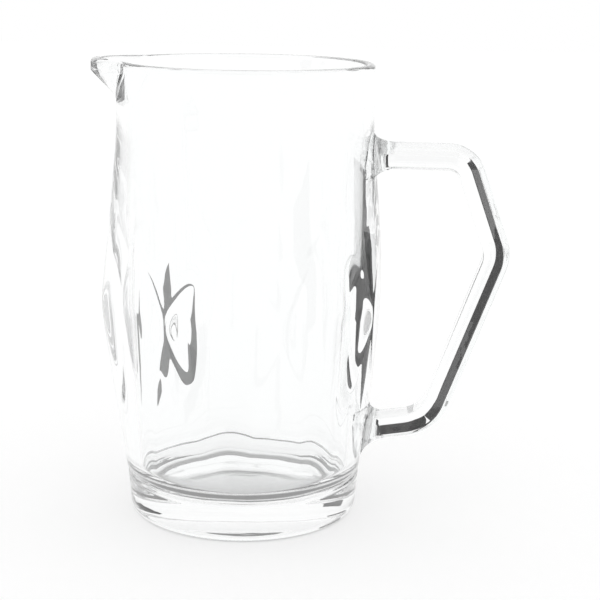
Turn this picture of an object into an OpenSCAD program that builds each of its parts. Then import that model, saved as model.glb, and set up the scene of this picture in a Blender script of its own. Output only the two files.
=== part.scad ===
// Clear pressed-glass pitcher: a panelled barrel vessel with a pouring lip, and a strap handle.
// Lengths are in millimetres and angles in degrees.
// The vessel stands on z = 0 about the z axis, the handle points along +x and the lip along -x.

/* [Vessel] */
// Height of the rim above the table
rim_height = 217; // [200:1:235]
// Outside width of the round rim
rim_width = 122.4; // [118:0.2:127]
// How far the ridges bulge out past the rim
ridge_bulge = 9.2; // [7:0.1:12]
// How far the panels are sunk below the ridges
panel_depth = 4.85; // [3.5:0.05:6]
// Number of panels round the body
panel_count = 8; // [6:2:12]
// How far the foot is set in from the rim
foot_inset = 3.6; // [2:0.1:6]
// Height of the foot
foot_height = 21; // [16:0.5:26]
// Thickness of the glass at the rim
rim_wall = 4.2; // [3.2:0.1:5.5]
// Thickness of the glass at the widest level, under a panel
panel_wall = 7.8; // [6:0.1:10]
// Thickness of the floor
floor_thickness = 18; // [12:0.5:22]

/* [Lip] */
// How far the pouring lip stands out past the rim
lip_reach = 13; // [9:0.5:16]
// How far the end of the lip rises above the rim
lip_rise = 4; // [1:0.5:7]

/* [Handle] */
// How far the handle stands out past the ridges
handle_stand = 56.8; // [48:0.2:68]
// Thickness of the bar, seen from the side
bar_thickness = 12.4; // [9:0.1:14]
// Width of the bar, seen from the end
bar_width = 15; // [11:0.5:18]
// Lean of the upper leg of the handle
upper_lean = 19.5; // [15:0.5:24]
// Lean of the lower leg of the handle
lower_lean = 20; // [15:0.5:24]

/* [Hidden] */
$fn = 128;

// Levels of the body, as shares of the rim height
widest_share = 0.4885;
panel_arc_share = 0.575;
panel_end_share = 0.7;
shoulder_share = 0.636;
neck_share = 0.866;

// Outside of the body
rim_radius = rim_width / 2;
ridge_radius = rim_radius + ridge_bulge;
panel_reach = ridge_radius - panel_depth;
foot_radius = rim_radius - foot_inset;
widest_height = widest_share * rim_height;
shoulder_height = shoulder_share * rim_height;
neck_height = neck_share * rim_height;
shoulder_bulge_share = 0.5;
shoulder_radius = rim_radius + shoulder_bulge_share * ridge_bulge;

// The corner where the two slopes of the barrel would meet is eased over this much height each way
ridge_ease_share = 0.055;
ridge_ease = ridge_ease_share * rim_height;
ridge_steps = 6;
lower_slope = (ridge_radius - foot_radius) / (widest_height - foot_height);
upper_slope = (ridge_radius - shoulder_radius) / (shoulder_height - widest_height);
ridge_corner_radius = ridge_radius + ridge_ease * (lower_slope + upper_slope) / 4;
ridge_corner = [ridge_corner_radius, widest_height];

function eased(from, corner, to, share) =
    pow(1 - share, 2) * from + 2 * share * (1 - share) * corner + pow(share, 2) * to;

ridge_curve = [
    for (step = [0 : ridge_steps])
        eased(
            ridge_corner - ridge_ease * [lower_slope, 1],
            ridge_corner,
            ridge_corner + ridge_ease * [-upper_slope, 1],
            step / ridge_steps
        )
];

// Panels are cut by wide arcs seen from the side
panel_arc_radius_share = 10.5;
panel_arc_radius = panel_arc_radius_share * panel_reach;
panel_arc_height = panel_arc_share * rim_height;
panel_end_height = panel_end_share * rim_height;
panel_pitch = 360 / panel_count;
arc_facets = 900;

// Foot and the crease above it
foot_taper_share = 0.028;
foot_base_radius = (1 - foot_taper_share) * foot_radius;
crease_share = 0.06;
crease = crease_share * foot_height;
crease_radius = foot_radius - crease;
foot_round_share = 0.22;
foot_round = foot_round_share * foot_height;
recess_radius_share = 0.8;
recess_radius = recess_radius_share * foot_base_radius;
recess_depth_share = 0.14;
recess_depth = recess_depth_share * floor_thickness;
recess_sphere = (pow(recess_radius, 2) + pow(recess_depth, 2)) / (2 * recess_depth);

// Inside of the body
rim_bore = rim_radius - rim_wall;
widest_bore = panel_reach - panel_wall;
floor_bore_share = 0.865;
floor_bore = floor_bore_share * foot_radius;
floor_round_share = 0.24;
floor_round = floor_round_share * floor_bore;

// The bore runs straight on past the rim, as far again as from its widest level to the rim
bore_top = 2 * rim_height - widest_height;
bore_top_radius = 2 * rim_bore - widest_bore;

// A rounding circle sits this share of its radius in from both sides it rounds
tuck_share = 0.97;

// Rim
rim_round_share = 0.56;
rim_round = rim_round_share * rim_wall;
rim_trim = 2 * rim_wall;

// Pouring lip: a cone on its own upright axis, seen as a round beak from above
lip_radius_share = 0.43;
lip_radius = lip_radius_share * rim_radius;
lip_centre = rim_radius + lip_reach - lip_radius;
lip_edge_share = 0.2;
lip_edge = lip_edge_share * lip_reach;
lip_low_share = 0.25;
lip_low_radius = lip_low_share * lip_radius;
lip_cone_top = rim_height - lip_edge;
lip_cone_height = lip_radius - lip_low_radius;
lip_top = rim_height + 2 * lip_rise;
lip_bore = lip_radius - rim_wall;
lip_bore_low_share = 0.12;
lip_bore_low_radius = lip_bore_low_share * lip_radius;
lip_bore_height = lip_bore - lip_bore_low_radius;
lip_bore_top = rim_height - lip_edge / 2;
lip_slope = atan(lip_rise / (lip_radius + lip_edge));

// Line of the handle, in its own plane: distance from the axis, then height
upper_arm_share = 0.819;
upper_arm_height = upper_arm_share * rim_height;
apex_share = 0.6055;
apex_height = apex_share * rim_height;
lower_root_share = 0.195;
lower_root_height = lower_root_share * rim_height;
lower_arm_rise = 9.5;
upper_bend = bar_thickness;
apex_bend_share = 1.35;
apex_bend = apex_bend_share * bar_thickness;
lower_bend_share = 1.65;
lower_bend = lower_bend_share * bar_thickness;

// Which way the outside of the bar faces along each straight, from +x towards +z
upper_arm_facing = 90;
upper_facing = upper_lean;
lower_facing = -lower_lean;
lower_arm_facing = lower_arm_rise - 90;

function facing(angle) = [cos(angle), sin(angle)];
function along(angle) = [-sin(angle), cos(angle)];

// Bend centres, found from the apex so that each straight meets its bends squarely
apex_centre = [ridge_radius + handle_stand - bar_thickness / 2 - apex_bend, apex_height];
upper_offset = apex_centre + (apex_bend - upper_bend) * facing(upper_facing);
upper_run = (upper_arm_height - upper_bend - upper_offset[1]) / cos(upper_facing);
upper_centre = upper_offset + upper_run * along(upper_facing);
lower_offset = apex_centre + (apex_bend - lower_bend) * facing(lower_facing);
lower_wall_radius = foot_radius + (ridge_corner_radius - foot_radius)
    * (lower_root_height - foot_height) / (widest_height - foot_height);
lower_wall = [lower_wall_radius, lower_root_height];
lower_run = ((lower_wall - lower_offset) * facing(lower_arm_facing) - lower_bend)
    / (-along(lower_facing) * facing(lower_arm_facing));
lower_centre = lower_offset - lower_run * along(lower_facing);

// Roots: where each arm meets the wall, and how far the bar swells there on its outside and inside
upper_wall_radius = rim_radius + (shoulder_radius - rim_radius)
    * (neck_height - upper_arm_height) / (neck_height - shoulder_height);
upper_wall = [upper_wall_radius, upper_arm_height];
upper_outward = -along(upper_arm_facing);
upper_outer_share = 0.38;
upper_inner_share = 0.45;
lower_outward = along(lower_arm_facing);
lower_outer_share = 0.75;
lower_inner_share = 0.42;
root_reach_share = 0.8;
root_reach = root_reach_share * bar_thickness;
root_bury_share = 0.4;
root_bury = root_bury_share * bar_thickness;

// Section of the bar: a flat band along its inside, then sides that slope in to a narrower outside
outer_width_share = 0.43;
outer_width = outer_width_share * bar_width;
band_share = 0.32;
band_depth = band_share * bar_thickness;
edge_round_share = 0.1;
edge_round = edge_round_share * bar_width;
edge_steps = 3;
half_section = [
    [bar_thickness / 2, outer_width / 2],
    [band_depth - bar_thickness / 2, bar_width / 2],
    [-bar_thickness / 2, bar_width / 2]
];

// The bar is lofted through stations, each [point, facing, outer swell, inner swell]
root_steps = 8;
bend_steps = 10;

// A quarter round, from full swell at the wall to none at the end of the root
function swell_share(distance) =
    1 - sqrt(1 - pow(max(0, min(1, 1 - distance / root_reach)), 2));

function root_stations(wall, outward, angle, outer_share, inner_share) = [
    for (step = [0 : root_steps])
        let (
            distance = (root_reach + root_bury) * step / root_steps - root_bury,
            swell = swell_share(distance) * bar_thickness
        )
        [wall + distance * outward, angle, outer_share * swell, inner_share * swell]
];

function bend_stations(centre, radius, from, to) = [
    for (step = [0 : bend_steps])
        let (angle = from + (to - from) * step / bend_steps)
        [centre + radius * facing(angle), angle, 0, 0]
];

function reversed(list) = [for (index = [len(list) - 1 : -1 : 0]) list[index]];

stations = concat(
    root_stations(upper_wall, upper_outward, upper_arm_facing, upper_outer_share, upper_inner_share),
    bend_stations(upper_centre, upper_bend, upper_arm_facing, upper_facing),
    bend_stations(apex_centre, apex_bend, upper_facing, lower_facing),
    bend_stations(lower_centre, lower_bend, lower_facing, lower_arm_facing),
    reversed(root_stations(lower_wall, lower_outward, lower_arm_facing, lower_outer_share, lower_inner_share))
);

// What is left of a square corner outside a circle, for rounding a profile; the corner is at the
// origin and the profile lies along -x and +y from it
module corner_waste(radius) {
    tuck = radius * tuck_share;
    difference() {
        translate([-tuck, -tuck])
            square([2 * tuck, 2 * tuck]);
        translate([-tuck, tuck])
            circle(radius);
    }
}

// Round barrel seen in half section, before the panels are cut
module barrel_profile() {
    polygon(concat(
        [
            [0, foot_height - crease],
            [crease_radius, foot_height - crease],
            [crease_radius, foot_height],
            [foot_radius, foot_height + crease]
        ],
        ridge_curve,
        [
            [shoulder_radius, shoulder_height],
            [rim_radius, neck_height],
            [rim_radius, rim_height],
            [0, rim_height]
        ]
    ));
}

// Two opposite panels seen from the side; above their end level they clear the body
module panel_pair_profile() {
    intersection() {
        translate([panel_reach - panel_arc_radius, panel_arc_height])
            circle(panel_arc_radius, $fn = arc_facets);
        translate([panel_arc_radius - panel_reach, panel_arc_height])
            circle(panel_arc_radius, $fn = arc_facets);
    }
    translate([-2 * ridge_radius, panel_end_height])
        square([4 * ridge_radius, rim_height]);
}

// Barrel with this many pairs of opposite panels cut
module panelled_barrel(pairs) {
    if (pairs == 0)
        rotate_extrude() barrel_profile();
    else
        intersection() {
            panelled_barrel(pairs - 1);
            rotate([0, 0, pairs * panel_pitch])
                rotate([90, 0, 0])
                    linear_extrude(height = 4 * ridge_radius, center = true)
                        panel_pair_profile();
        }
}

module foot() {
    rotate_extrude()
        difference() {
            polygon([
                [0, 0],
                [foot_base_radius, 0],
                [foot_radius, foot_height - crease],
                [crease_radius, foot_height],
                [0, foot_height]
            ]);
            translate([foot_base_radius, 0])
                corner_waste(foot_round);
        }
}

// Outside of the body without the lip; the handle is fitted against it
module body_form() {
    panelled_barrel(panel_count / 2);
    foot();
}

module bore() {
    rotate_extrude()
        difference() {
            polygon([
                [0, floor_thickness],
                [floor_bore, floor_thickness],
                [widest_bore, widest_height],
                [bore_top_radius, bore_top],
                [0, bore_top]
            ]);
            translate([floor_bore, floor_thickness])
                corner_waste(floor_round);
        }
}

// Ring of waste round the top of the rim that leaves it rounded
module rim_waste() {
    rotate_extrude()
        difference() {
            translate([rim_radius - rim_wall / 2 - rim_trim, rim_height - rim_round])
                square([2 * rim_trim, rim_trim]);
            translate([rim_radius - rim_wall / 2, rim_height - rim_round])
                circle(rim_round);
        }
}

module lip_form() {
    difference() {
        translate([-lip_centre, 0, lip_cone_top - lip_cone_height]) {
            cylinder(h = lip_cone_height, r1 = lip_low_radius, r2 = lip_radius);
            translate([0, 0, lip_cone_height])
                cylinder(h = lip_top - lip_cone_top, r = lip_radius);
        }
        translate([-lip_centre, 0, rim_height])
            rotate([0, lip_slope, 0])
                translate([-2 * rim_width, -rim_width, 0])
                    cube([4 * rim_width, 2 * rim_width, rim_height]);
    }
}

module lip_channel() {
    translate([-lip_centre, 0, lip_bore_top - lip_bore_height]) {
        cylinder(h = lip_bore_height, r1 = lip_bore_low_radius, r2 = lip_bore);
        translate([0, 0, lip_bore_height])
            cylinder(h = lip_top - rim_height + lip_reach, r = lip_bore);
    }
}

// Shallow dish under the foot that leaves a flat resting ring
module recess() {
    translate([0, 0, recess_depth - recess_sphere])
        sphere(recess_sphere, $fn = arc_facets);
}

module vessel() {
    color([0.80, 0.89, 0.92])
        difference() {
            union() {
                difference() {
                    body_form();
                    rim_waste();
                }
                lip_form();
            }
            bore();
            lip_channel();
            recess();
        }
}

// Outline of the bar's section, across the bar and then along y, with every corner eased
section_corners = concat(half_section, [for (corner = reversed(half_section)) [corner[0], -corner[1]]]);
corner_count = len(section_corners);
function towards(from, to, distance) = from + distance * (to - from) / norm(to - from);
section_points = [
    for (index = [0 : corner_count - 1], step = [0 : edge_steps])
        let (
            corner = section_corners[index],
            before = section_corners[(index + corner_count - 1) % corner_count],
            after = section_corners[(index + 1) % corner_count]
        )
        eased(
            towards(corner, before, edge_round),
            corner,
            towards(corner, after, edge_round),
            step / edge_steps
        )
];
ring_count = len(section_points);

// The section at a station, stretched by the swell of the root
function ring_points(station) = [
    for (point = section_points)
        let (swell = point[0] > 0 ? station[2] : station[3])
        [point[0] * (1 + 2 * swell / bar_thickness), point[1] * (1 + 2 * station[3] / bar_width)]
];

module handle_form() {
    points = [
        for (station = stations, offset = ring_points(station))
            let (place = station[0] + offset[0] * facing(station[1]))
            [place[0], offset[1], place[1]]
    ];
    last_ring = len(stations) - 1;
    sides = [
        for (ring = [0 : last_ring - 1], step = [0 : ring_count - 1])
            let (
                here = ring * ring_count + step,
                beside = ring * ring_count + (step + 1) % ring_count
            )
            each [
                [here, beside, beside + ring_count],
                [here, beside + ring_count, here + ring_count]
            ]
    ];
    start_cap = [for (step = [ring_count - 1 : -1 : 0]) step];
    end_cap = [for (step = [0 : ring_count - 1]) last_ring * ring_count + step];
    polyhedron(points, concat(sides, [start_cap, end_cap]));
}

module handle() {
    color([0.76, 0.87, 0.91])
        difference() {
            handle_form();
            body_form();
        }
}

vessel();
handle();
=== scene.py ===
"""Clear pressed-glass pitcher on a white studio floor."""

import math

import bpy
import numpy as np
from mathutils import Matrix, Vector


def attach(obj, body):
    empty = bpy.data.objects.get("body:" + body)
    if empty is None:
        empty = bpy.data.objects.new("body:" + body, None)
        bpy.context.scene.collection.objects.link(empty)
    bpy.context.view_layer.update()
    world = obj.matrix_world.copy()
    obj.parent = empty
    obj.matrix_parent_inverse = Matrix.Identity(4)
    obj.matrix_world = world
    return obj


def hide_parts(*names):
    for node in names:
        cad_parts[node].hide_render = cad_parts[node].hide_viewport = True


# The pitcher is worked out in millimetres, and the stage and the camera in metres
MM = 0.001

# Vessel
RIM_HEIGHT = 220.0
RIM_RADIUS = 61.2
RIM_WALL = 4.2
RIM_BORE = RIM_RADIUS - RIM_WALL
RIDGE_RADIUS = 70.4
RIDGE_HEIGHT = 106.0
SHOULDER_RADIUS = 65.8
SHOULDER_HEIGHT = 138.0
NECK_HEIGHT = 188.0
BARREL_EASE = 7.0
PANEL_COUNT = 8
PANEL_REACH = 65.55
PANEL_LEVEL = 124.8
PANEL_ARC = 688.0
PANEL_END = SHOULDER_HEIGHT + 16.0
EDGE_SOFTNESS = 0.9
FOOT_RADIUS = 57.6
FOOT_BASE_RADIUS = 56.0
FOOT_HEIGHT = 21.0
FOOT_ROUND = 4.6
FOOT_MARGIN = 6.0
CREASE = 1.1
CREASE_SPREAD = 1.3
DISH_RADIUS = 44.8
DISH_DEPTH = 2.5
FLOOR_HEIGHT = 18.0
FLOOR_BORE = 49.8
FLOOR_ROUND = 12.0
WIDEST_BORE = 57.75

# Pouring lip
LIP_REACH = 13.0
LIP_RISE = 0.6
LIP_RISE_SPREAD = math.radians(41.0)
LIP_RADIUS = 26.3
LIP_CENTRE = RIM_RADIUS + LIP_REACH - LIP_RADIUS
LIP_EDGE_HEIGHT = RIM_HEIGHT - 5.6
LIP_CHANNEL_HEIGHT = LIP_EDGE_HEIGHT + 1.3
LIP_BLEND = 5.0
LIP_START = 190.0

# Bar of the handle: a flat band inside, sloping sides and a narrow nose outside
BAR_THICKNESS = 12.4
BAR_WIDTH = 15.0
FLAT_DEPTH = 3.4
OUTER_WIDTH = 8.8
NOSE_WIDTH = 2.6
NOSE_DEPTH = 2.6
EDGE_ROUND = 0.8
NOSE_ROUND = 1.1

# Line of the handle
UPPER_ARM_HEIGHT = 177.8
APEX_REACH = 127.2
APEX_HEIGHT = 131.4
UPPER_LEAN = math.radians(19.5)
LOWER_LEAN = math.radians(20.0)
LOWER_ARM_RISE = math.radians(9.5)
LOWER_ROOT_HEIGHT = 42.3
UPPER_BEND = 12.4
APEX_BEND = 16.74
LOWER_BEND = 20.46

# Roots of the handle, with how far the bar swells there on its outside and its inside
ROOT_REACH = 9.92
ROOT_SINK = 0.25
UPPER_SWELLS = (4.5, 5.4)
LOWER_SWELLS = (9.0, 5.0)
NO_SWELLS = (0.0, 0.0)

# Mesh fineness
AROUND = 512
BARREL_SAMPLES = 9
POLE_SHARE = 0.03
DISH_ROWS = 14
REST_ROWS = 5
FOOT_ROUND_ROWS = 11
FOOT_ROWS = 40
WALL_ROWS = 130
LIP_ROWS = 26
RIM_ROWS = 17
BORE_ROWS = 50
FLOOR_ROUND_ROWS = 13
FLOOR_ROWS = 12
CORNER_STEPS = 9
CORNER_LIMIT_SHARE = 0.45
CORNER_GUARD_SHARE = 0.15
SEAT_SHARES = (0.15, 0.4, 0.7, 1.0)
ROOT_STEPS = 15
SHARP_BEND_STEPS = 24
APEX_STEPS = 16
REACH_ROUNDS = 6

# Glass
GLASS_TINT = (0.99, 0.995, 0.995, 1.0)
GLASS_IOR = 1.52
VESSEL_WAVES = 40.0
HANDLE_WAVES = 60.0
WAVE_DETAIL = 2.0
WAVE_STRENGTH = 0.25
WAVE_DEPTH = 0.0004
MOST_ROUGHNESS = 0.02

# Studio floor, whose glow is cut under the foot as a painted contact shadow: darkest under the ring
# the foot stands on, less dark under the dish
WHITE = (1.0, 1.0, 1.0, 1.0)
STAGE_SIZE = 8.0
STAGE_GREY = (0.4, 0.4, 0.4, 1.0)
STAGE_ROUGHNESS = 0.9
OPEN_GLOW = 0.62
PAINTED_SHADOW_GLOW = 0.2
DISH_PAINTED_SHADE_LIFT = 0.24
PAINTED_SHADOW_EDGE = (0.0505, 0.0545)
DISH_PAINTED_SHADE_EDGE = (0.045, 0.036)

# Dark flags that draw the edges of the glass: name, place, way it faces, size, shade, and whether
# it shows only through one wall; the paired ones stand on both sides of the lip and handle
PAIRED_FLAGS = [
    ("flag", (0.0, 0.184, 0.1125), (1.0, 0.2, 0.0), (0.152, 0.165), 0.06, True),
    ("arm_flag", (0.065, 0.118, 0.07), (0.0, 0.0, -1.0), (0.07, 0.075), 0.06, True),
    ("lip_flag", (-0.102, 0.035, 0.209), (0.0, -1.0, 0.0), (0.046, 0.026), 0.25, True),
    ("left_flag", (-0.11, 0.16, 0.036), (1.0, 0.2, 0.0), (0.08, 0.048), 0.26, False),
    ("right_flag", (0.23, 0.15, 0.06), (0.0, -1.0, 0.0), (0.14, 0.12), 0.08, True),
]
HIGH_FLAG = ("front_card", (0.0, -0.5, 0.5), (0.0, 1.0, 0.0), (0.6, 0.4), 0.35, False)
ONE_WALL_LIMIT = 2.5

# Camera
CAMERA_LENS = 89.5
CAMERA_SENSOR = 36.0
CAMERA_SIDE = math.radians(8.5)
CAMERA_DISTANCE = 0.7119
CAMERA_HEIGHT = 0.2669
CAMERA_HEADING = 0.1103
CAMERA_PITCH = 0.2240
CAMERA_ROLL = 0.0146
LIGHT_BOUNCES = 32


def soft_min(first, second, softness):
    """Lower of two values, with the corner between them rounded off."""
    near = np.clip(1.0 - np.abs(first - second) / softness, 0.0, 1.0)
    return np.minimum(first, second) - softness * near**2 / 4.0


def soft_max(first, second, softness):
    """Higher of two values, with the corner between them rounded off."""
    return -soft_min(-first, -second, softness)


def steps(first, last, count):
    """Even steps from first to last without the first, which the rows before already have."""
    return np.linspace(first, last, count)[1:]


# Outside and inside of the vessel, as radius over angle and height


def barrel_radius(height):
    """Round barrel before its panels are cut, with every corner of its profile eased."""
    levels = [0.0, FOOT_HEIGHT, RIDGE_HEIGHT, SHOULDER_HEIGHT, NECK_HEIGHT, 2 * RIM_HEIGHT]
    radii = [FOOT_RADIUS, FOOT_RADIUS, RIDGE_RADIUS, SHOULDER_RADIUS, RIM_RADIUS, RIM_RADIUS]
    offsets = BARREL_EASE * np.linspace(-1.0, 1.0, BARREL_SAMPLES)
    return np.mean([np.interp(height + offset, levels, radii) for offset in offsets], axis=0)


def panel_radius(angle, height):
    """Nearest panel, flat across and bowed along its height."""
    pitch = 2 * math.pi / PANEL_COUNT
    off_centre = (angle + pitch / 2) % pitch - pitch / 2
    reach = PANEL_REACH - (height - PANEL_LEVEL) ** 2 / (2 * PANEL_ARC)
    return reach / np.cos(off_centre)


def angle_from_lip(angle):
    """Turn away from the middle of the lip, which lies at half a turn."""
    return np.abs(angle % (2 * math.pi) - math.pi)


def lip_reach(angle, round_radius):
    """Distance from the axis to the far side of the lip's round, or zero where it is missed."""
    from_lip = angle_from_lip(angle)
    across = LIP_CENTRE * np.sin(from_lip)
    room = round_radius**2 - across**2
    hit = (room > 0) & (round_radius > 0) & (from_lip < math.pi / 2)
    return np.where(hit, LIP_CENTRE * np.cos(from_lip) + np.sqrt(np.maximum(room, 0)), 0.0)


def lip_lift(angle):
    """How far the rim is lifted at the lip."""
    return LIP_RISE * np.exp(-((angle_from_lip(angle) / LIP_RISE_SPREAD) ** 2))


def outer_radius(angle, height):
    """Outside of wall and lip; above the panels the barrel is left round."""
    barrel = barrel_radius(height)
    panelled = soft_min(barrel, panel_radius(angle, height), EDGE_SOFTNESS)
    wall = np.where(height > PANEL_END, barrel, panelled)
    lip_round = LIP_RADIUS - np.maximum(0.0, LIP_EDGE_HEIGHT - height)
    return soft_max(wall, lip_reach(angle, lip_round), LIP_BLEND)


def inner_radius(angle, height):
    """Inside of wall and lip."""
    levels = [FLOOR_HEIGHT, RIDGE_HEIGHT, RIM_HEIGHT]
    bore = np.interp(height, levels, [FLOOR_BORE, WIDEST_BORE, RIM_BORE])
    lip_round = LIP_RADIUS - RIM_WALL - np.maximum(0.0, LIP_CHANNEL_HEIGHT - height)
    return soft_max(bore, lip_reach(angle, lip_round), LIP_BLEND)


# Vessel, as rows of radius and height from the middle of its underside to the middle of its floor


def foot_rows(angle):
    rows = []
    for share in np.linspace(POLE_SHARE, 1.0, DISH_ROWS):
        rows.append((DISH_RADIUS * share, DISH_DEPTH * (1 - share**2)))
    for radius in steps(DISH_RADIUS, FOOT_BASE_RADIUS - FOOT_ROUND, REST_ROWS):
        rows.append((radius, 0.0))
    for turn in steps(0.0, math.pi / 2, FOOT_ROUND_ROWS):
        radius = FOOT_BASE_RADIUS - FOOT_ROUND * (1 - math.sin(turn))
        rows.append((radius, FOOT_ROUND * (1 - math.cos(turn))))
    for height in steps(FOOT_ROUND, FOOT_HEIGHT + FOOT_MARGIN, FOOT_ROWS):
        if height < FOOT_HEIGHT:
            skin = np.interp(height, [FOOT_ROUND, FOOT_HEIGHT], [FOOT_BASE_RADIUS, FOOT_RADIUS])
        else:
            skin = outer_radius(angle, height)
        groove = CREASE * math.exp(-(((height - FOOT_HEIGHT) / CREASE_SPREAD) ** 2))
        rows.append((skin - groove, height))
    return rows


def wall_rows(angle):
    heights = steps(FOOT_HEIGHT + FOOT_MARGIN, LIP_START, WALL_ROWS)
    return [(outer_radius(angle, height), height) for height in heights]


def rim_rows(angle):
    """Rows up the outside of the lip's zone, over the round of the rim and down the inside."""
    lift = lip_lift(angle)
    outer_top = outer_radius(angle, RIM_HEIGHT)
    inner_top = inner_radius(angle, RIM_HEIGHT)
    middle = (outer_top + inner_top) / 2
    half_wall = (outer_top - inner_top) / 2
    round_start = RIM_HEIGHT - half_wall
    rows = []
    for share in steps(0.0, 1.0, LIP_ROWS):
        level = LIP_START + share * (round_start - LIP_START)
        rows.append((outer_radius(angle, level), level + lift * share**2))
    for turn in steps(0.0, math.pi, RIM_ROWS)[:-1]:
        level = round_start + half_wall * math.sin(turn)
        rows.append((middle + half_wall * math.cos(turn), level + lift))
    for share in np.linspace(1.0, 0.0, LIP_ROWS):
        level = LIP_START + share * (round_start - LIP_START)
        rows.append((inner_radius(angle, level), level + lift * share**2))
    return rows


def inside_rows(angle):
    round_top = FLOOR_HEIGHT + FLOOR_ROUND
    wall = inner_radius(angle, round_top)
    rows = []
    for height in steps(LIP_START, round_top, BORE_ROWS):
        rows.append((inner_radius(angle, height), height))
    for turn in steps(0.0, math.pi / 2, FLOOR_ROUND_ROWS):
        level = round_top - FLOOR_ROUND * math.sin(turn)
        rows.append((wall - FLOOR_ROUND * (1 - math.cos(turn)), level))
    for share in steps(1.0, POLE_SHARE, FLOOR_ROWS):
        rows.append(((wall - FLOOR_ROUND) * share, FLOOR_HEIGHT))
    return rows


def closed_mesh(name, rings, first_pole, last_pole):
    """Closed mesh through rings of points with the same count, shut by a point at each end."""
    count = len(rings[0])
    points = np.concatenate([[first_pole], *rings, [last_pole]]) * MM
    last = len(points) - 1
    last_ring = last - count
    faces = []
    for step in range(count):
        beside = (step + 1) % count
        faces.append((0, 1 + beside, 1 + step))
        faces.append((last, last_ring + step, last_ring + beside))
        for base in range(1, last_ring, count):
            above = base + count
            faces.append((base + step, base + beside, above + beside, above + step))
    mesh = bpy.data.meshes.new(name)
    mesh.from_pydata(points.tolist(), [], faces)
    mesh.polygons.foreach_set("use_smooth", [True] * len(mesh.polygons))
    mesh.update()
    piece = bpy.data.objects.new(name, mesh)
    bpy.context.scene.collection.objects.link(piece)
    return piece


def make_vessel():
    angle = np.linspace(0, 2 * math.pi, AROUND, endpoint=False)
    level = np.ones_like(angle)
    rings = []
    for radius, height in foot_rows(angle) + wall_rows(angle) + rim_rows(angle) + inside_rows(angle):
        ring = [radius * np.cos(angle), radius * np.sin(angle), height * level]
        rings.append(np.stack(ring, axis=1))
    return closed_mesh("vessel_glass", rings, (0, 0, DISH_DEPTH), (0, 0, FLOOR_HEIGHT))


# Handle: a bar swept along straights and bends, swelling into the wall at both roots


def facing(turn):
    """Way the outside of the bar faces, as distance from the axis and height."""
    return np.array([math.cos(turn), math.sin(turn)])


def along(turn):
    """Way the bar runs, a quarter turn on from where its outside faces."""
    return np.array([-math.sin(turn), math.cos(turn)])


def wall_reach(sideways, height):
    """Distance along x from the axis to the wall at this offset and height."""
    reach = np.full_like(sideways, RIM_RADIUS)
    for _ in range(REACH_ROUNDS):
        angle = np.arctan2(sideways, reach)
        reach = np.sqrt(outer_radius(angle, height) ** 2 - sideways**2)
    return reach


def wall_point(height):
    """Point of the wall in the handle's own plane."""
    return np.array([wall_reach(np.zeros(1), height)[0], height])


def bar_section():
    """Bar's outline as offsets outward and sideways, with every corner rounded."""
    half = BAR_THICKNESS / 2
    one_side = [
        (half, NOSE_WIDTH / 2),
        (half - NOSE_DEPTH, OUTER_WIDTH / 2),
        (FLAT_DEPTH - half, BAR_WIDTH / 2),
        (-half, BAR_WIDTH / 2),
    ]
    other_side = [(outward, -sideways) for outward, sideways in one_side]
    corners = np.array(other_side + one_side[::-1])
    points = []
    for index, corner in enumerate(corners):
        before = corners[index - 1] - corner
        after = corners[(index + 1) % len(corners)] - corner
        reach = NOSE_ROUND if corner[0] == half else EDGE_ROUND
        start = corner + before * min(CORNER_LIMIT_SHARE, reach / np.linalg.norm(before))
        end = corner + after * min(CORNER_LIMIT_SHARE, reach / np.linalg.norm(after))
        points.append(start + (start - corner) * CORNER_GUARD_SHARE)
        for share in np.linspace(0, 1, CORNER_STEPS):
            rest = 1 - share
            points.append(rest**2 * start + 2 * share * rest * corner + share**2 * end)
        points.append(end + (end - corner) * CORNER_GUARD_SHARE)
    return np.array(points)


def bar_ring(point, turn, swells):
    """Points of the bar's section as distance from the axis, offset sideways and height."""
    outer_swell, inner_swell = swells
    outward, sideways = bar_section().T
    swell = np.where(outward > 0, outer_swell, inner_swell)
    across = outward * (1 + swell / (BAR_THICKNESS / 2))
    widened = sideways * (1 + inner_swell / (BAR_WIDTH / 2))
    place = point + across[:, None] * facing(turn)
    return np.stack([place[:, 0], widened, place[:, 1]], axis=1)


def root_rings(wall, outward, turn, swells):
    """Rings from inside the wall out to the end of the root."""
    seat = bar_ring(wall, turn, swells)
    middle = seat.mean(axis=0)
    rings = []
    for share in SEAT_SHARES:
        ring = middle + (seat - middle) * share
        ring[:, 0] = wall_reach(ring[:, 1], ring[:, 2]) - ROOT_SINK
        rings.append(ring)
    for share in steps(0.0, 1.0, ROOT_STEPS):
        distance = ROOT_REACH * share
        swell_share = 1 - math.sqrt(1 - (1 - share) ** 2)
        ring = bar_ring(wall + distance * outward, turn, [swell * swell_share for swell in swells])
        bent = wall_reach(ring[:, 1], ring[:, 2]) + distance
        ring[:, 0] = bent + (ring[:, 0] - bent) * share**2
        rings.append(ring)
    return rings


def bend_rings(centre, radius, first, last, count):
    turns = np.linspace(first, last, count)
    return [bar_ring(centre + radius * facing(turn), turn, NO_SWELLS) for turn in turns]


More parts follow.
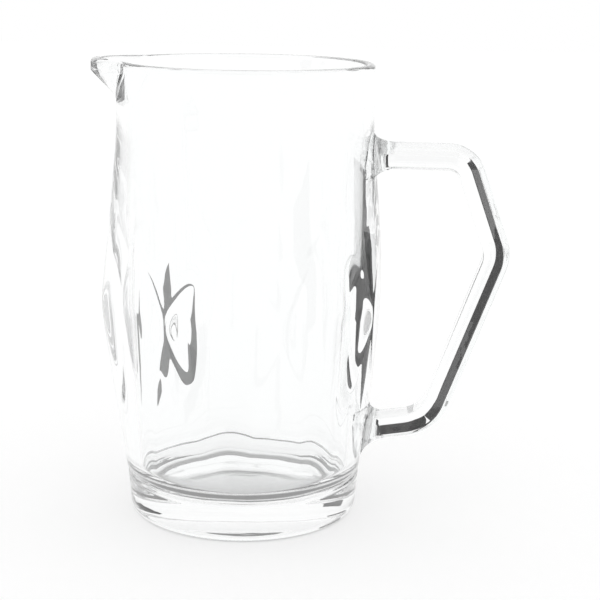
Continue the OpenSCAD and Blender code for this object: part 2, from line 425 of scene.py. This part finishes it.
def make_handle():
    upper_arm, upper_leg = math.pi / 2, UPPER_LEAN
    lower_leg, lower_arm = -LOWER_LEAN, LOWER_ARM_RISE - math.pi / 2
    upper_wall = wall_point(UPPER_ARM_HEIGHT)
    lower_wall = wall_point(LOWER_ROOT_HEIGHT)

    # Bend centres, found from the apex so that each straight meets its bends squarely
    apex = np.array([APEX_REACH - BAR_THICKNESS / 2 - APEX_BEND, APEX_HEIGHT])
    upper = apex + (APEX_BEND - UPPER_BEND) * facing(upper_leg)
    upper_run = (UPPER_ARM_HEIGHT - UPPER_BEND - upper[1]) / math.cos(upper_leg)
    upper = upper + upper_run * along(upper_leg)
    lower = apex + (APEX_BEND - LOWER_BEND) * facing(lower_leg)
    lower_gap = (lower_wall - lower) @ facing(lower_arm) - LOWER_BEND
    lower = lower + lower_gap / (along(lower_leg) @ facing(lower_arm)) * along(lower_leg)

    rings = root_rings(upper_wall, -along(upper_arm), upper_arm, UPPER_SWELLS)
    rings += bend_rings(upper, UPPER_BEND, upper_arm, upper_leg, SHARP_BEND_STEPS)
    rings += bend_rings(apex, APEX_BEND, upper_leg, lower_leg, APEX_STEPS)
    rings += bend_rings(lower, LOWER_BEND, lower_leg, lower_arm, SHARP_BEND_STEPS)
    rings += root_rings(lower_wall, along(lower_arm), lower_arm, LOWER_SWELLS)[::-1]
    return closed_mesh("handle_glass", rings, rings[0].mean(axis=0), rings[-1].mean(axis=0))


# Materials


def new_material(name):
    material = bpy.data.materials.new(name)
    material.use_nodes = True
    return material, material.node_tree.nodes, material.node_tree.links


def map_range(nodes, from_span, to_span):
    ramp = nodes.new("ShaderNodeMapRange")
    ramp.inputs["From Min"].default_value, ramp.inputs["From Max"].default_value = from_span
    ramp.inputs["To Min"].default_value, ramp.inputs["To Max"].default_value = to_span
    return ramp


def combined(material, operation, first, second):
    """One value worked out from two others inside a material."""
    node = material.node_tree.nodes.new("ShaderNodeMath")
    node.operation = operation
    material.node_tree.links.new(first, node.inputs[0])
    material.node_tree.links.new(second, node.inputs[1])
    return node.outputs["Value"]


def glass(name, wave_scale):
    """Clear glass with the faint waves and dullness of a pressed surface."""
    material, nodes, links = new_material(name)
    shader = nodes["Principled BSDF"]
    shader.inputs["Base Color"].default_value = GLASS_TINT
    shader.inputs["Transmission Weight"].default_value = 1.0
    shader.inputs["IOR"].default_value = GLASS_IOR
    place = nodes.new("ShaderNodeTexCoord")
    waves = nodes.new("ShaderNodeTexNoise")
    waves.inputs["Scale"].default_value = wave_scale
    waves.inputs["Detail"].default_value = WAVE_DETAIL
    links.new(place.outputs["Object"], waves.inputs["Vector"])
    bump = nodes.new("ShaderNodeBump")
    bump.inputs["Strength"].default_value = WAVE_STRENGTH
    bump.inputs["Distance"].default_value = WAVE_DEPTH
    links.new(waves.outputs["Fac"], bump.inputs["Height"])
    links.new(bump.outputs["Normal"], shader.inputs["Normal"])
    dullness = map_range(nodes, (0.0, 1.0), (0.0, MOST_ROUGHNESS))
    links.new(waves.outputs["Fac"], dullness.inputs["Value"])
    links.new(dullness.outputs["Result"], shader.inputs["Roughness"])
    return material


# Stage


def studio_floor():
    bpy.ops.mesh.primitive_plane_add(size=STAGE_SIZE)
    floor = bpy.context.object
    floor.name = "studio_floor"
    material, nodes, links = new_material("studio_white")
    shader = nodes["Principled BSDF"]
    shader.inputs["Base Color"].default_value = STAGE_GREY
    shader.inputs["Roughness"].default_value = STAGE_ROUGHNESS
    shader.inputs["Specular IOR Level"].default_value = 0.0
    shader.inputs["Emission Color"].default_value = WHITE

    # Glow by distance from the pitcher's axis, with a painted contact shadow: the glow drops under
    # the ring the foot stands on and rises part way again under the dish
    place = nodes.new("ShaderNodeTexCoord")
    distance = nodes.new("ShaderNodeVectorMath")
    distance.operation = "LENGTH"
    links.new(place.outputs["Object"], distance.inputs[0])
    open_glow_and_painted_shadow = map_range(nodes, PAINTED_SHADOW_EDGE, (PAINTED_SHADOW_GLOW, OPEN_GLOW))
    dish_painted_shade_lift = map_range(nodes, DISH_PAINTED_SHADE_EDGE, (0.0, DISH_PAINTED_SHADE_LIFT))
    links.new(distance.outputs["Value"], open_glow_and_painted_shadow.inputs["Value"])
    links.new(distance.outputs["Value"], dish_painted_shade_lift.inputs["Value"])
    # Open floor glow plus the painted contact shadow under the foot
    glow_with_painted_shadow = combined(material, "ADD", open_glow_and_painted_shadow.outputs["Result"], dish_painted_shade_lift.outputs["Result"])

    # Only the camera, gloss and glass see the glow, so it puts no light on the pitcher
    rays = nodes.new("ShaderNodeLightPath").outputs
    seen = combined(material, "MAXIMUM", rays["Is Camera Ray"], rays["Is Glossy Ray"])
    seen = combined(material, "MAXIMUM", seen, rays["Is Transmission Ray"])
    links.new(combined(material, "MULTIPLY", glow_with_painted_shadow, seen), shader.inputs["Emission Strength"])
    floor.data.materials.append(material)


def studio_world():
    world = bpy.data.worlds.new("studio")
    bpy.context.scene.world = world
    world.use_nodes = True
    background = world.node_tree.nodes["Background"]
    background.inputs["Color"].default_value = WHITE
    background.inputs["Strength"].default_value = 1.0


def dark_flag(name, centre, facing_way, size, shade, one_wall):
    """Dark card, clear from behind, that only gloss and glass show."""
    bpy.ops.mesh.primitive_plane_add(size=1.0)
    card = bpy.context.object
    card.name = name
    turn = Vector(facing_way).to_track_quat("Z", "Y").to_matrix().to_4x4()
    card.matrix_world = Matrix.Translation(centre) @ turn @ Matrix.Diagonal((*size, 1.0, 1.0))
    card.visible_camera = False
    card.visible_diffuse = False
    card.visible_shadow = False
    material, nodes, links = new_material(name)
    shader = nodes["Principled BSDF"]
    shader.inputs["Base Color"].default_value = (shade, shade, shade, 1.0)
    shader.inputs["Specular IOR Level"].default_value = 0.0
    clear = nodes.new("ShaderNodeBsdfTransparent")
    mix = nodes.new("ShaderNodeMixShader")
    unseen = nodes.new("ShaderNodeNewGeometry").outputs["Backfacing"]
    if one_wall:
        rays = nodes.new("ShaderNodeLightPath")
        second_wall = nodes.new("ShaderNodeMath")
        second_wall.operation = "GREATER_THAN"
        second_wall.inputs[1].default_value = ONE_WALL_LIMIT
        links.new(rays.outputs["Transmission Depth"], second_wall.inputs[0])
        unseen = combined(material, "MAXIMUM", unseen, second_wall.outputs["Value"])
    links.new(unseen, mix.inputs[0])
    links.new(shader.outputs[0], mix.inputs[1])
    links.new(clear.outputs[0], mix.inputs[2])
    links.new(mix.outputs[0], nodes["Material Output"].inputs["Surface"])
    card.data.materials.append(material)


def studio_flags():
    for end, side in (("front_", -1.0), ("back_", 1.0)):
        for name, place, way, size, shade, one_wall in PAIRED_FLAGS:
            side_place = (place[0], place[1] * side, place[2])
            side_way = (way[0], way[1] * side, way[2])
            dark_flag(end + name, side_place, side_way, size, shade, one_wall)
    dark_flag(*HIGH_FLAG)


def make_camera():
    data = bpy.data.cameras.new("camera")
    data.lens = CAMERA_LENS
    data.sensor_width = CAMERA_SENSOR
    camera = bpy.data.objects.new("camera", data)
    bpy.context.scene.collection.objects.link(camera)
    across, back = math.sin(CAMERA_SIDE), -math.cos(CAMERA_SIDE)
    place = Vector((CAMERA_DISTANCE * across, CAMERA_DISTANCE * back, CAMERA_HEIGHT))
    heading = Matrix.Rotation(CAMERA_HEADING, 4, "Z")
    pitch = Matrix.Rotation(math.pi / 2 - CAMERA_PITCH, 4, "X")
    roll = Matrix.Rotation(CAMERA_ROLL, 4, "Z")
    camera.matrix_world = Matrix.Translation(place) @ heading @ pitch @ roll
    bpy.context.scene.camera = camera


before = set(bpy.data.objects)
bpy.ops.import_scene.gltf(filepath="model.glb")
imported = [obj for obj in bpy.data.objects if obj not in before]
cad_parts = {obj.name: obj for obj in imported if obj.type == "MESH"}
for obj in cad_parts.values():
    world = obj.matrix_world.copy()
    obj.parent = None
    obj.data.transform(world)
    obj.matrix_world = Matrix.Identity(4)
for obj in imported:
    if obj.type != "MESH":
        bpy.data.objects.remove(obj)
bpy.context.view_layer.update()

vessel = make_vessel()
vessel.data.materials.append(glass("vessel_glass", VESSEL_WAVES))
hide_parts("vessel")
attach(vessel, "root")

handle = make_handle()
handle.data.materials.append(glass("handle_glass", HANDLE_WAVES))
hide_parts("handle")
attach(handle, "root")

studio_floor()
studio_world()
studio_flags()
make_camera()

scene = bpy.context.scene
scene.view_settings.view_transform = "Standard"
scene.cycles.max_bounces = LIGHT_BOUNCES
scene.cycles.transmission_bounces = LIGHT_BOUNCES
scene.cycles.glossy_bounces = LIGHT_BOUNCES
